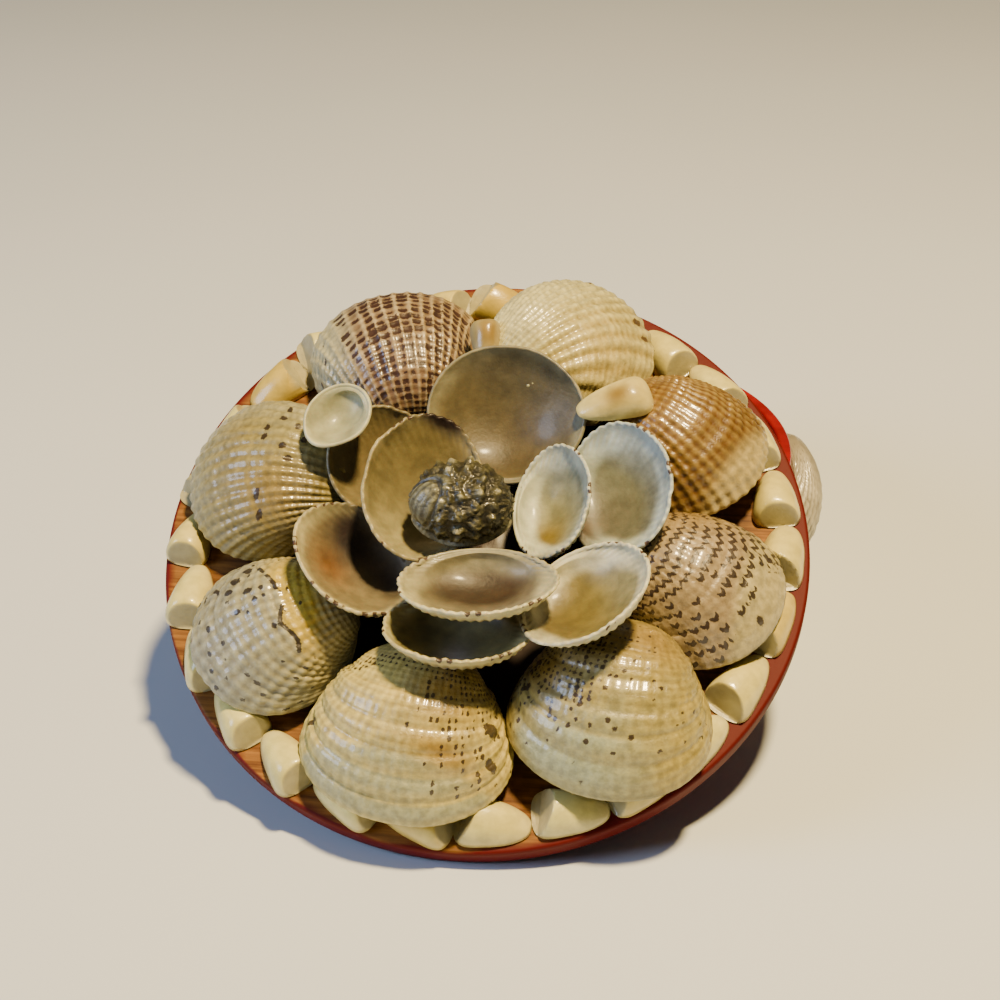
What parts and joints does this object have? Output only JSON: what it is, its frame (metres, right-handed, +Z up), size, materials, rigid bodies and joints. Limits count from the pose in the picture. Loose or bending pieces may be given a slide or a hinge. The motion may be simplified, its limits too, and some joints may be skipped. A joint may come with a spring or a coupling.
{
  "type": "round shell covered trinket box with lid",
  "caption": "Round wooden trinket box covered in sea shells, shown open with its lid leaning on the tub; the lid carries a ring of clams, a rim of wedge shells and a shell flower.",
  "frame": {"origin": "centre of the tub's flat underside, on the surface that the box stands on", "axes": "+Z up; -Y towards the front, where the lid leans on the tub's rim; +X to the right seen from the front"},
  "size_m": [0.1272, 0.1526, 0.0688],
  "materials": {
    "painted_wood": "red gloss paint, thin and a little uneven",
    "varnished_wood": "orange-brown varnished wood with a red painted edge and underside",
    "clam_shell": "cream shell, ribbed and beaded, with brown marks, under clear varnish",
    "wedge_shell": "smooth cream shell under clear varnish",
    "side_shell": "grey-cream ribbed shell with dark spots, under clear varnish",
    "cup_shell": "smooth grey-white shell inside with brown stains, toothed margin",
    "snail_shell": "knobbly grey-green shell, glossy",
    "putty": "dark red-brown set putty, rough"
  },
  "bodies": {
    "root": {"box_body": "painted_wood", "lid_board": "varnished_wood", "flower_mound": "putty", "centre_snail": "snail_shell", "clam_1": "clam_shell", "clam_2": "clam_shell", "clam_3": "clam_shell", "clam_4": "clam_shell", "clam_5": "clam_shell", "clam_6": "clam_shell", "clam_7": "clam_shell", "clam_8": "clam_shell", "rim_shell_01": "wedge_shell", "rim_shell_02": "wedge_shell", "rim_shell_03": "wedge_shell", "rim_shell_04": "wedge_shell", "rim_shell_05": "wedge_shell", "rim_shell_06": "wedge_shell", "rim_shell_07": "wedge_shell", "rim_shell_08": "wedge_shell", "rim_shell_09": "wedge_shell", "rim_shell_10": "wedge_shell", "rim_shell_11": "wedge_shell", "rim_shell_12": "wedge_shell", "rim_shell_13": "wedge_shell", "rim_shell_14": "wedge_shell", "rim_shell_15": "wedge_shell", "rim_shell_16": "wedge_shell", "rim_shell_17": "wedge_shell", "rim_shell_18": "wedge_shell", "rim_shell_19": "wedge_shell", "rim_shell_20": "wedge_shell", "rim_shell_21": "wedge_shell", "rim_shell_22": "wedge_shell", "rim_shell_23": "wedge_shell", "rim_shell_24": "wedge_shell", "rim_shell_25": "wedge_shell", "rim_shell_26": "wedge_shell", "rim_shell_27": "wedge_shell", "filler_left": "wedge_shell", "filler_right": "wedge_shell", "filler_back": "wedge_shell", "side_shell_01": "side_shell", "side_shell_02": "side_shell", "side_shell_03": "side_shell", "side_shell_04": "side_shell", "side_shell_05": "side_shell", "side_shell_06": "side_shell", "side_shell_07": "side_shell", "side_shell_08": "side_shell", "side_shell_09": "side_shell", "petal_outer_left_back": "cup_shell", "petal_outer_left_front": "cup_shell", "petal_outer_front": "cup_shell", "petal_outer_right_front": "cup_shell", "petal_outer_right": "cup_shell", "petal_outer_back": "cup_shell", "petal_inner_left": "cup_shell", "petal_inner_front": "cup_shell", "petal_inner_right": "cup_shell"}
  },
  "joints": []
}
